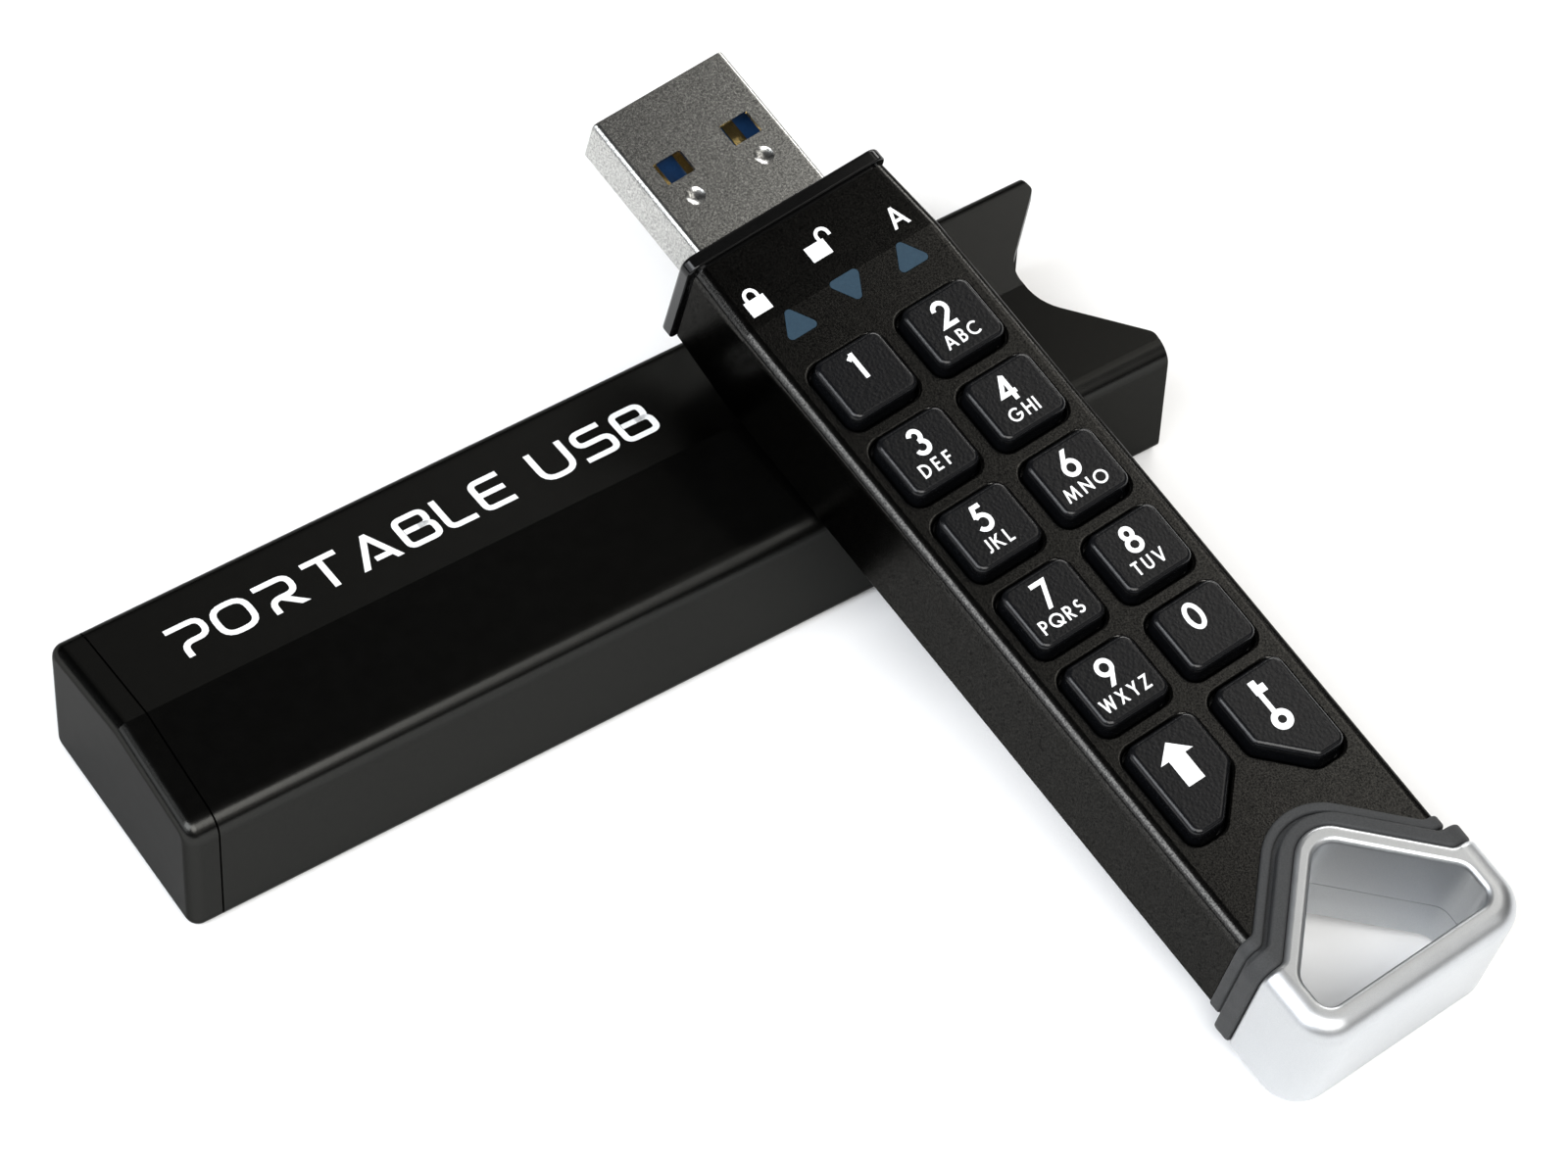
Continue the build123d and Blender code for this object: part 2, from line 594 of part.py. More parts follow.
# --- keypad: twelve separate sprung keys ------------------------------------------------------
for column, row, name in KEYS:
    with BuildPart() as key:
        extrude(key_outline(level(FLANGE_TOP), column, row), amount=KEY_TOP - FLANGE_TOP)
        fillet(key.faces().sort_by(DRIVE_UP)[-1].edges(), KEY_EDGE_RADIUS)
        flange_outline = key_outline(level(FLANGE_FLOOR), column, row, FLANGE_MARGIN)
        extrude(flange_outline, amount=FLANGE_TOP - FLANGE_FLOOR)
        with BuildSketch(level(STEM_FLOOR)):
            with Locations(key_centre(column, row)):
                Circle(STEM_RADIUS)
        extrude(amount=FLANGE_FLOOR - STEM_FLOOR)
    finish(key.part, name)

with BuildPart() as keypad_web:
    web_plan = block_outline(level(WEB_FLOOR), BOARD_WIDTH - 2 * SHEET_MARGIN, SHEET_START, BOARD_END)
    extrude(web_plan, amount=WEB_THICKNESS)
    with BuildSketch(level(WEB_FLOOR)):
        with Locations([key_centre(column, row) for column, row, name in KEYS]):
            Circle(STEM_RADIUS + WEB_HOLE_MARGIN)
    extrude(amount=WEB_THICKNESS, mode=Mode.SUBTRACT)
finish(keypad_web.part, "keypad_web")

with BuildPart() as dome_sheet:
    film_plan = block_outline(level(BOARD_TOP), BOARD_WIDTH - 2 * SHEET_MARGIN, SHEET_START, BOARD_END)
    extrude(film_plan, amount=DOME_FILM)
    for column, row, name in KEYS:
        with BuildSketch(level(BOARD_TOP + DOME_FILM)):
            with Locations(key_centre(column, row)):
                Circle(DOME_RADIUS)
        extrude(amount=DOME_RISE, taper=DOME_TAPER)
finish(dome_sheet.part, "dome_sheet")

# --- lights: clear guides flush with the roof, each over a small lamp ---------------------------
for index, name in enumerate(GUIDE_NAMES):
    with BuildPart() as light_guide:
        extrude(guide_outline(level(GUIDE_FLOOR), index), amount=HOUSING_TOP - GUIDE_FLOOR)
    finish(light_guide.part, name)

with BuildPart() as led_chips:
    with BuildSketch(level(BOARD_TOP)):
        with Locations((-GUIDE_X, SIDE_LAMP_Y), (0, MIDDLE_LAMP_Y), (GUIDE_X, SIDE_LAMP_Y)):
            Rectangle(LAMP_WIDTH, LAMP_LENGTH)
    extrude(amount=LAMP_HEIGHT)
finish(led_chips.part, "led_chips")

# --- electronics on a plastic tray --------------------------------------------------------------
with BuildPart() as inner_tray:
    tray_floor = CAVITY_FLOOR + FIT
    tray_plan = block_outline(level(tray_floor), TRAY_WIDTH, TRAY_START, TRAY_END)
    extrude(tray_plan, amount=BOARD_FLOOR - tray_floor - FIT)
    pocket_width = TRAY_WIDTH - 2 * TRAY_WALL
    pocket_plan = block_outline(
        level(tray_floor + TRAY_WALL), pocket_width, TRAY_START - TRAY_WALL, TRAY_END + TRAY_WALL
    )
    extrude(pocket_plan, amount=CUT_HEIGHT, mode=Mode.SUBTRACT)
    fillet(inner_tray.faces().sort_by(DRIVE_UP)[0].edges().filter_by(DRIVE_FORWARD), TRAY_RADIUS)
finish(inner_tray.part, "inner_tray")

with BuildPart() as circuit_board:
    board_plan = block_outline(level(BOARD_FLOOR), BOARD_WIDTH, BOARD_START, BOARD_END)
    extrude(board_plan, amount=BOARD_TOP - BOARD_FLOOR)
finish(circuit_board.part, "circuit_board")

CHIPS = [
    ("memory_chip", 0.0, -48.5, 12.0, 14.0, 1.0),
    ("controller_chip", 0.0, -14.5, 7.0, 7.0, 0.9),
    ("security_chip", -4.0, -25.0, 5.0, 5.0, 0.85),
]
for name, chip_x, chip_y, width, length, height in CHIPS:
    with BuildPart() as chip:
        with BuildSketch(level(BOARD_FLOOR - height)):
            with Locations((chip_x, chip_y)):
                Rectangle(width, length)
        extrude(amount=height)
    finish(chip.part, name)

with BuildPart() as battery:
    battery_floor = CAVITY_FLOOR + TRAY_WALL + 2 * FIT
    with BuildSketch(level(battery_floor)):
        with Locations((0, BATTERY_Y)):
            RectangleRounded(BATTERY_WIDTH, BATTERY_LENGTH, BATTERY_RADIUS)
    extrude(amount=BATTERY_HEIGHT)
finish(battery.part, "battery")
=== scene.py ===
import json
import math

import bmesh
import bpy
from mathutils import Euler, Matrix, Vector


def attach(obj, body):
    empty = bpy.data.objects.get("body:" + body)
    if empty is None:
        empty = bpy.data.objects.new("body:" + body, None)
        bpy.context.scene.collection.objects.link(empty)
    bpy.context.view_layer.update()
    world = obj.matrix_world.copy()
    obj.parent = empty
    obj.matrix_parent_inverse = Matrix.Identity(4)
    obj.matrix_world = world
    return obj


# Looks of the USB flash drive lying across its sleeve. Lengths are millimetres, turned into metres
# by MM; only the camera, the lights and the floor are placed in metres. Points on the drive are
# given in its own axes: X across, Y towards the plug, Z up from its underside.
MM = 0.001

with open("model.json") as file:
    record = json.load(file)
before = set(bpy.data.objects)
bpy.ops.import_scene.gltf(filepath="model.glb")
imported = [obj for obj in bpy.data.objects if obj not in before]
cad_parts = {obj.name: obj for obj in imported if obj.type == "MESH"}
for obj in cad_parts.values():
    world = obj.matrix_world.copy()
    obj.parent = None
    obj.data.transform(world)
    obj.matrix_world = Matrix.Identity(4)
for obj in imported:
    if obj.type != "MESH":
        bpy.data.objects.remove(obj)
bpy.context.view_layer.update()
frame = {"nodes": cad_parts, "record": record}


# --- where the drive lies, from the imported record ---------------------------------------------
def mount(name):
    return next(m for m in frame["record"]["mounts"] if m["name"] == name)


# The mount usb_plug sits at the plug's tip, this far ahead of and above the drive's own origin.
PLUG_REACH = 13.65
PLUG_CENTRE = 3.95
FORWARD = Vector(mount("usb_plug")["axis"]).normalized()
UP = Vector(mount("loop_opening")["axis"]).normalized()
ACROSS = FORWARD.cross(UP)
ORIGIN = Vector(mount("usb_plug")["pos_m"]) - (FORWARD * PLUG_REACH + UP * PLUG_CENTRE) * MM


def on_drive(x, y, z):
    """World place of a point given in the drive's own axes."""
    return ORIGIN + (ACROSS * x + FORWARD * y + UP * z) * MM


# --- camera, light and floor ------------------------------------------------------------------
CAMERA_PLACE = Vector((-0.17281, -0.26585, 0.42580))
CAMERA_TURN = (36.782, -1.780, -32.854)
CAMERA_LENS = 167.04
SENSOR_WIDTH = 36
NEAREST_SEEN = 0.01
FARTHEST_SEEN = 20
SCENE_CENTRE = Vector((0.006, -0.013, 0.01))
FLOOR_HALF = 3.0
FLOOR_DROP = 0.00001
FLOOR_PAPER = (0.92, 0.92, 0.92)
ROOM_GLOW = (0.03, 0.03, 0.03)
COOL = (0.93, 0.96, 1.0)
NEUTRAL = (1.0, 0.99, 0.97)

# Each light: azimuth and elevation in degrees, distance, width, height, power in watts, colour.
LIGHTS = {
    "light_key_left": (-165, 50, 0.9, 0.6, 0.5, 7.5, COOL),
    "light_key_front": (-98, 52, 0.9, 0.6, 0.5, 7.5, NEUTRAL),
    "light_fill": (38, 26, 0.9, 0.6, 0.25, 3.5, NEUTRAL),
    "light_left": (174, 25, 0.9, 0.9, 0.4, 2.2, COOL),
    "light_front": (-70, 28, 0.9, 0.8, 0.35, 0.5, (1.0, 0.98, 0.95)),
    "light_right": (-3, 52, 0.4, 0.24, 0.155, 0.21, (1.0, 0.975, 0.92)),
    "light_back": (68, 34, 0.9, 0.8, 0.5, 0.25, (1.0, 0.99, 0.95)),
}


def add_camera():
    data = bpy.data.cameras.new("camera")
    data.lens = CAMERA_LENS
    data.sensor_width = SENSOR_WIDTH
    data.clip_start = NEAREST_SEEN
    data.clip_end = FARTHEST_SEEN
    camera = bpy.data.objects.new("camera", data)
    camera.location = CAMERA_PLACE
    camera.rotation_euler = Euler([math.radians(angle) for angle in CAMERA_TURN])
    bpy.context.scene.collection.objects.link(camera)
    bpy.context.scene.camera = camera


def softbox(name, azimuth, elevation, distance, width, height, power, colour):
    """A soft rectangular light that faces the object; azimuth is counted from +X towards +Y."""
    turn, rise = math.radians(azimuth), math.radians(elevation)
    way = Vector((math.cos(rise) * math.cos(turn), math.cos(rise) * math.sin(turn), math.sin(rise)))
    data = bpy.data.lights.new(name, "AREA")
    data.shape = "RECTANGLE"
    data.size = width
    data.size_y = height
    data.energy = power
    data.color = colour
    light = bpy.data.objects.new(name, data)
    light.location = SCENE_CENTRE + way * distance
    light.rotation_euler = way.to_track_quat("Z", "Y").to_euler()
    bpy.context.scene.collection.objects.link(light)


def add_lights():
    for name, values in LIGHTS.items():
        softbox(name, *values)
    world = bpy.data.worlds.new("studio")
    world.use_nodes = True
    world.node_tree.nodes["Background"].inputs["Color"].default_value = (*ROOM_GLOW, 1)
    bpy.context.scene.world = world


def add_floor():
    mesh = bpy.data.meshes.new("floor")
    signs = [(-1, -1), (1, -1), (1, 1), (-1, 1)]
    corners = [(x * FLOOR_HALF, y * FLOOR_HALF, -FLOOR_DROP) for x, y in signs]
    mesh.from_pydata(corners, [], [(0, 1, 2, 3)])
    floor = bpy.data.objects.new("floor", mesh)
    bpy.context.scene.collection.objects.link(floor)
    mesh.materials.append(plain_material("floor_paper", FLOOR_PAPER, 0.9, specular=0.1))


# --- materials --------------------------------------------------------------------------------
# NOISE_RANGE is the part of a noise that is spread over the whole range of a look. A cloud of
# roughness is CLOUD_GRAINS grains wide.
NOISE_RANGE = (0.3, 0.7)
CLOUD_GRAINS = 12
PLASTIC_SPECULAR = 0.3


def plain_material(name, colour, roughness, metallic=0.0, specular=0.5, edge=1.0):
    material = bpy.data.materials.new(name)
    material.use_nodes = True
    shader = material.node_tree.nodes["Principled BSDF"]
    shader.inputs["Base Color"].default_value = (*colour, 1)
    shader.inputs["Roughness"].default_value = roughness
    shader.inputs["Metallic"].default_value = metallic
    shader.inputs["Specular IOR Level"].default_value = specular
    shader.inputs["Specular Tint"].default_value = (edge, edge, edge, 1)
    return material


def node(material, kind, settings=None, **inputs):
    """Adds a shader node; sockets are set by name with spaces written as underscores."""
    made = material.node_tree.nodes.new(kind)
    for key, value in (settings or {}).items():
        setattr(made, key, value)
    for key, value in inputs.items():
        made.inputs[key.replace("_", " ")].default_value = value
    return made


def join(material, output, socket):
    material.node_tree.links.new(output, socket)


def shader_of(material):
    return material.node_tree.nodes["Principled BSDF"]


def noise(material, size_mm, detail=2.0, roughness=0.5):
    """Noise whose grains are about size_mm across, fixed to the piece."""
    place = node(material, "ShaderNodeTexCoord")
    scale = 1 / (size_mm * MM)
    cloud = node(material, "ShaderNodeTexNoise", Scale=scale, Detail=detail, Roughness=roughness)
    join(material, place.outputs["Object"], cloud.inputs["Vector"])
    return cloud.outputs["Fac"]


def spread(material, source, low, high, source_range=NOISE_RANGE):
    """Turns a noise value into a number between low and high."""
    ramp = node(material, "ShaderNodeMapRange")
    join(material, source, ramp.inputs["Value"])
    ends = ("From Min", "From Max", "To Min", "To Max")
    for key, value in zip(ends, (*source_range, low, high)):
        ramp.inputs[key].default_value = value
    return ramp.outputs["Result"]


def tint(material, source, dark, light, source_range=NOISE_RANGE):
    """Turns a noise value into a colour between dark and light."""
    blend = node(material, "ShaderNodeMix", {"data_type": "RGBA"})
    blend.inputs["A"].default_value = (*dark, 1)
    blend.inputs["B"].default_value = (*light, 1)
    join(material, spread(material, source, 0, 1, source_range), blend.inputs["Factor"])
    return blend.outputs["Result"]


def relief(material, source, depth_mm, strength=1.0):
    """Raises the surface by the source, on top of any relief that is already there."""
    bump = node(material, "ShaderNodeBump", Strength=strength, Distance=depth_mm * MM)
    join(material, source, bump.inputs["Height"])
    normal = shader_of(material).inputs["Normal"]
    if normal.links:
        join(material, normal.links[0].from_socket, bump.inputs["Normal"])
    join(material, bump.outputs["Normal"], normal)


def grained(name, dark, light, grain_mm, depth_mm, rough_low, rough_high, **looks):
    """A surface whose colour and relief follow a fine grain, and its roughness a coarser cloud."""
    material = plain_material(name, light, rough_high, **looks)
    grain = noise(material, grain_mm)
    shader = shader_of(material)
    join(material, tint(material, grain, dark, light), shader.inputs["Base Color"])
    cloud = noise(material, grain_mm * CLOUD_GRAINS, detail=3.0)
    join(material, spread(material, cloud, rough_low, rough_high), shader.inputs["Roughness"])
    relief(material, grain, depth_mm)
    return material


PEBBLE_SIZE = 0.26
PEBBLE_SHIFT = 0.25
PEBBLE_SHIFT_SIZE = 0.6
PEBBLE_DEPTH = 0.010
PEBBLE_RANGE = (0.1, 0.7)
PEBBLE_TOP = (0.004, 0.0043, 0.0052)
# Colour of the valleys between the pebbles: painted shade, darker than the pebble tops.
PEBBLE_VALLEY_SHADE = (0.0026, 0.0028, 0.0034)
PEBBLE_ROUGH = (0.20, 0.27)


def leather_material():
    """Fine pebbled grain of the moulded keys: rounded cells, pushed about so that none is regular, with
    painted shade in the valleys between them.
    """
    material = plain_material("key_plastic", PEBBLE_TOP, PEBBLE_ROUGH[1], specular=PLASTIC_SPECULAR)
    shader = shader_of(material)
    place = node(material, "ShaderNodeTexCoord")
    wobble = node(material, "ShaderNodeTexNoise", Scale=1 / (PEBBLE_SHIFT_SIZE * MM), Detail=2.0)
    join(material, place.outputs["Object"], wobble.inputs["Vector"])
    moved = node(material, "ShaderNodeVectorMath", {"operation": "MULTIPLY_ADD"})
    join(material, wobble.outputs["Color"], moved.inputs[0])
    moved.inputs[1].default_value = (PEBBLE_SHIFT * MM,) * 3
    join(material, place.outputs["Object"], moved.inputs[2])
    rounding = {"feature": "SMOOTH_F1"}
    cells = node(material, "ShaderNodeTexVoronoi", rounding, Scale=1 / (PEBBLE_SIZE * MM), Smoothness=0.6)
    join(material, moved.outputs["Vector"], cells.inputs["Vector"])
    pebble = cells.outputs["Distance"]
    # Painted shade: the colour darkens from each pebble's top into the valleys around it.
    colour = tint(material, pebble, PEBBLE_TOP, PEBBLE_VALLEY_SHADE, PEBBLE_RANGE)
    join(material, spread(material, pebble, *PEBBLE_ROUGH, PEBBLE_RANGE), shader.inputs["Roughness"])
    join(material, colour, shader.inputs["Base Color"])
    relief(material, pebble, -PEBBLE_DEPTH, strength=0.8)
    return material


# Each surface: dark and light colour, grain size, grain depth, lowest and highest roughness.
# Anodised metal mirrors less at a grazing angle than bare metal does, by GRAZING.
GRAZING = 0.45
ANODISED = {
    "sleeve_black": ((0.027, 0.027, 0.026), (0.033, 0.033, 0.031), 0.10, 0.0016, 0.25, 0.27),
    "housing_black": ((0.012, 0.012, 0.012), (0.052, 0.051, 0.048), 0.13, 0.0040, 0.20, 0.22),
}
PLASTICS = {
    "plate_gloss": ((0.0022, 0.0022, 0.0022), (0.003, 0.003, 0.003), 0.2, 0.0003, 0.10, 0.14),
    "inner_plastic": ((0.010, 0.010, 0.010), (0.016, 0.016, 0.016), 0.2, 0.004, 0.45, 0.55),
    "seal_rubber": ((0.026, 0.027, 0.028), (0.038, 0.039, 0.040), 0.12, 0.004, 0.62, 0.72),
    "web_rubber": ((0.020, 0.020, 0.020), (0.030, 0.030, 0.030), 0.15, 0.004, 0.65, 0.75),
    "chip_black": ((0.012, 0.012, 0.013), (0.020, 0.020, 0.021), 0.1, 0.004, 0.45, 0.55),
    "tongue_blue": ((0.004, 0.022, 0.070), (0.006, 0.030, 0.090), 0.2, 0.002, 0.35, 0.42),
    "board_green": ((0.010, 0.100, 0.050), (0.016, 0.140, 0.075), 0.4, 0.002, 0.30, 0.38),
    "guide_slate": ((0.019, 0.040, 0.062), (0.022, 0.046, 0.070), 0.3, 0.001, 0.28, 0.34),
    "lamp_white": ((0.70, 0.68, 0.58), (0.80, 0.78, 0.68), 0.3, 0.002, 0.25, 0.30),
}
METALS = {
    "plug_steel": ((0.20, 0.20, 0.195), (0.60, 0.60, 0.58), 0.15, 0.0018, 0.25, 0.26),
    "loop_silver": ((0.50, 0.515, 0.53), (0.56, 0.57, 0.58), 0.08, 0.0010, 0.39, 0.42),
    "contact_gold": ((0.78, 0.55, 0.20), (0.86, 0.64, 0.26), 0.2, 0.001, 0.22, 0.28),
    "dome_steel": ((0.55, 0.55, 0.53), (0.65, 0.65, 0.63), 0.2, 0.001, 0.25, 0.30),
    "battery_foil": ((0.42, 0.42, 0.41), (0.55, 0.55, 0.53), 0.5, 0.006, 0.35, 0.45),
}


def add_materials():
    made = {}
    for name, values in PLASTICS.items():
        made[name] = grained(name, *values, specular=PLASTIC_SPECULAR)
    for name, values in ANODISED.items():
        made[name] = grained(name, *values, metallic=1.0, edge=GRAZING)
    for name, values in METALS.items():
        made[name] = grained(name, *values, metallic=1.0)
    made["key_black"] = leather_material()
    for row in frame["record"]["subparts"]:
        mesh = frame["nodes"][row["node"]].data
        mesh.materials.clear()
        mesh.materials.append(made[row["material_slot"]])


# --- printed signs ----------------------------------------------------------------------------
# A stroke is a list of points on its middle line. Letters stand between 0 and 1; a stem that
# runs past either end is cut off level by set_text.
PAST = 0.2
ARC_STEP = 9
BEND_STEPS = 5
SHARPEST_MITRE = 0.22
CLOSED_WITHIN = 1e-6


def arc(x, y, rx, ry, start, end):
    """Points along an ellipse; angles are in degrees, counted from +X towards +Y."""
    count = max(2, round(abs(end - start) / ARC_STEP))
    angles = [math.radians(start + (end - start) * i / count) for i in range(count + 1)]
    return [(x + rx * math.cos(a), y + ry * math.sin(a)) for a in angles]


def stem(x, low=-PAST, high=1 + PAST):
    """An upright stroke."""
    return [(x, low), (x, high)]


def rounded(points, radius):
    """The same line with its inner corners turned into arcs."""
    line = [points[0]]
    for before, corner, after in zip(points, points[1:], points[2:]):
        a, b, c = Vector(before), Vector(corner), Vector(after)
        start = b + (a - b).normalized() * radius
        end = b + (c - b).normalized() * radius
        for i in range(BEND_STEPS + 1):
            t = i / BEND_STEPS
            line.append(tuple(start * (1 - t) ** 2 + b * (2 * t * (1 - t)) + end * t**2))
    return line + [points[-1]]


def bowl(top, bottom, width):
    """The round belly of a letter, drawn from its stem at x = 0."""
    middle, half = (top + bottom) / 2, (top - bottom) / 2
    return [(0, top)] + arc(width - half, middle, half, half, 90, -90) + [(0, bottom)]


# The round letters of the keys.
LETTERS = {
    "0": [arc(0.29, 0.5, 0.29, 0.5, 0, 360)],
    "1": [stem(0.2), [(-0.02, 0.84), (0.2, 0.99)]],
    "2": [arc(0.27, 0.71, 0.27, 0.29, 178, -38) + [(0.02, 0), (0.6, 0)]],
    "3": [arc(0.25, 0.76, 0.22, 0.24, 165, -90), arc(0.25, 0.26, 0.27, 0.26, 90, -168)],
    "4": [stem(0.45, -PAST, 1), [(0.64, 0.26), (0, 0.26), (0.45, 1.04)]],
    "5": [[(0.56, 1), (0.22, 1), (0.1, 0.55)], arc(0.27, 0.31, 0.3, 0.31, 128, -152)],
    "6": [arc(0.29, 0.3, 0.29, 0.3, 0, 360), [(0.5, 1 + PAST), (0.06, 0.47)]],
    "7": [[(-0.02, 1), (0.58, 1), (0.12, -PAST)]],
    "8": [arc(0.28, 0.77, 0.21, 0.23, 0, 360), arc(0.28, 0.27, 0.28, 0.27, 0, 360)],
    "9": [arc(0.29, 0.7, 0.29, 0.3, 0, 360), [(0.08, -PAST), (0.52, 0.53)]],
    "A": [[(-0.07, -PAST), (0.38, 1.06), (0.83, -PAST)], [(0.14, 0.3), (0.62, 0.3)]],
    "B": [stem(0), bowl(1, 0.53, 0.42), bowl(0.53, 0, 0.48)],
    "C": [arc(0.5, 0.5, 0.5, 0.5, 48, 312)],
    "D": [stem(0), [(0, 1)] + arc(0.16, 0.5, 0.5, 0.5, 90, -90) + [(0, 0)]],
    "E": [stem(0), [(0, 1), (0.48, 1)], [(0, 0.52), (0.45, 0.52)], [(0, 0), (0.48, 0)]],
    "F": [stem(0), [(0, 1), (0.46, 1)], [(0, 0.52), (0.43, 0.52)]],
    "G": [arc(0.5, 0.5, 0.5, 0.5, 46, 356), [(0.55, 0.46), (1.06, 0.46)]],
    "H": [stem(0), stem(0.62), [(0, 0.53), (0.62, 0.53)]],
    "I": [stem(0)],
    "J": [[(0.3, 1 + PAST)] + arc(0.13, 0.17, 0.17, 0.17, 0, -125)],
    "K": [stem(0), [(0.68, 1 + PAST), (0.02, 0.44)], [(0.2, 0.62), (0.76, -PAST)]],
    "L": [stem(0), [(0, 0), (0.46, 0)]],
    "M": [[(-0.03, -PAST), (0.17, 1.02), (0.52, 0.06), (0.87, 1.02), (1.07, -PAST)]],
    "N": [[(0, -PAST), (0, 0.96), (0.72, 0.04), (0.72, 1 + PAST)]],
    "O": [arc(0.52, 0.5, 0.52, 0.5, 0, 360)],
    "P": [stem(0), bowl(1, 0.47, 0.46)],
    "Q": [arc(0.52, 0.5, 0.52, 0.5, 0, 360), [(0.5, 0.4), (1.02, -0.06)]],
    "R": [stem(0), bowl(1, 0.47, 0.46), [(0.18, 0.47), (0.6, -PAST)]],
    "S": [arc(0.26, 0.75, 0.21, 0.25, 38, 270) + arc(0.26, 0.25, 0.26, 0.25, 90, -148)[1:]],
    "T": [stem(0.27), [(-0.04, 1), (0.58, 1)]],
    "U": [[(0, 1 + PAST)] + arc(0.28, 0.28, 0.28, 0.28, 180, 360) + [(0.56, 1 + PAST)]],
    "V": [[(-0.07, 1 + PAST), (0.34, -0.04), (0.75, 1 + PAST)]],
    "W": [[(-0.05, 1 + PAST), (0.25, 0.0), (0.52, 0.98), (0.79, 0.0), (1.09, 1 + PAST)]],
    "X": [[(-0.05, 1 + PAST), (0.68, -PAST)], [(0.66, 1 + PAST), (-0.05, -PAST)]],
    "Y": [[(-0.06, 1 + PAST), (0.31, 0.47), (0.31, -PAST)], [(0.68, 1 + PAST), (0.31, 0.47)]],
    "Z": [[(0.02, 1), (0.58, 1), (0, 0), (0.62, 0)]],
}
# The wide letters with rounded corners on the sleeve. A space is a stroke that falls outside the line.
P_LINE = rounded([(-0.1, 1), (0.86, 1), (0.86, 0.4), (0.12, 0.4), (0.12, -PAST)], 0.28)
B_TURNS = [(0.1, 0.53), (0.82, 0.53), (0.82, 1), (0, 1), (0, 0), (0.88, 0), (0.88, 0.53), (0.5, 0.53)]
WIDE_LETTERS = {
    " ": [[(0, -1), (0.3, -1)]],
    "A": [[(-0.06, -PAST), (0.48, 1.03), (1.02, -PAST)], [(0.36, 0.16), (0.8, 0.16)]],
    "B": [rounded(B_TURNS, 0.2)],
    "E": [rounded([(0.82, 1), (0, 1), (0, 0), (0.84, 0)], 0.2), [(0, 0.52), (0.78, 0.52)]],
    "L": [rounded([(0, 1 + PAST), (0, 0), (0.76, 0)], 0.2)],
    "O": [rounded([(0.45, 1), (0.95, 1), (0.95, 0), (0, 0), (0, 1), (0.45, 1)], 0.4)],
    "P": [P_LINE],
    "R": [P_LINE, [(0.4, 0.4), (1.0, -PAST)]],
    "S": [rounded([(0.82, 1), (0, 1), (0, 0.53), (0.88, 0.53), (0.88, 0), (-0.06, 0)], 0.22)],
    "T": [stem(0.44), [(-0.06, 1), (0.94, 1)]],
    "U": [rounded([(0, 1 + PAST), (0, 0), (0.9, 0), (0.9, 1 + PAST)], 0.38)],
}


def ribbon(points, weight):
    """Quads along a line, mitred at its corners."""
    line = [Vector(p) for p in points]
    closed = (line[0] - line[-1]).length < CLOSED_WITHIN
    ways = [(b - a).normalized() for a, b in zip(line, line[1:])]
    sides = []
    for i, point in enumerate(line):
        before = ways[i - 1] if i > 0 or closed else ways[0]
        after = ways[i] if i < len(ways) else (ways[0] if closed else ways[-1])
        normal = Vector((-(before + after).y, (before + after).x)).normalized()
        reach = weight / 2 / max(SHARPEST_MITRE, normal.dot(Vector((-after.y, after.x))))
        sides.append((point + normal * reach, point - normal * reach))
    return [[a[0], a[1], b[1], b[0]] for a, b in zip(sides, sides[1:])]


def cut(polygon, axis, limit, keep):
    """The part of a convex polygon on one side of a level line; keep is 1 above it, -1 below."""
    kept = []
    for a, b in zip(polygon, polygon[1:] + polygon[:1]):
        depth_a, depth_b = (a[axis] - limit) * keep, (b[axis] - limit) * keep
        if depth_a >= 0:
            kept.append(a)
        if depth_a * depth_b < 0:
            kept.append(a.lerp(b, depth_a / (depth_a - depth_b)))
    return kept


def set_text(text, letters, cap, weight, gap):
    """Outlines of a line of text that starts at x = 0 on the line y = 0, and its length."""
    scale = cap - weight
    margin = Vector((weight / 2, weight / 2))
    line_weight = weight / scale
    shapes, x = [], 0.0
    for letter in text:
        strokes = letters[letter]
        left = min(p[0] for stroke in strokes for p in stroke)
        shift = Vector((x - left, 0))
        for stroke in strokes:
            shape = []
            for quad in ribbon(stroke, line_weight):
                level = cut(cut(quad, 1, -line_weight / 2, 1), 1, 1 + line_weight / 2, -1)
                if len(level) > 2:
                    shape.append([(point + shift) * scale + margin for point in level])
            shapes.append(shape)
        x += max(p[0] for stroke in strokes for p in stroke) - left + gap
    return shapes, (x - gap) * scale + weight


def shifted(shapes, dx, dy):
    return [[[Vector((p[0] + dx, p[1] + dy)) for p in quad] for quad in shape] for shape in shapes]


# The ink starts a little below the surface and stands a little above it. Where strokes cross, each
# one stands a step above the last, so that no two faces share a plane.
FILM_SINK = 0.03
FILM_RISE = 0.012
FILM_STEP = 0.0006
SAME_POINT = 1e-7
NO_LENGTH = 1e-8


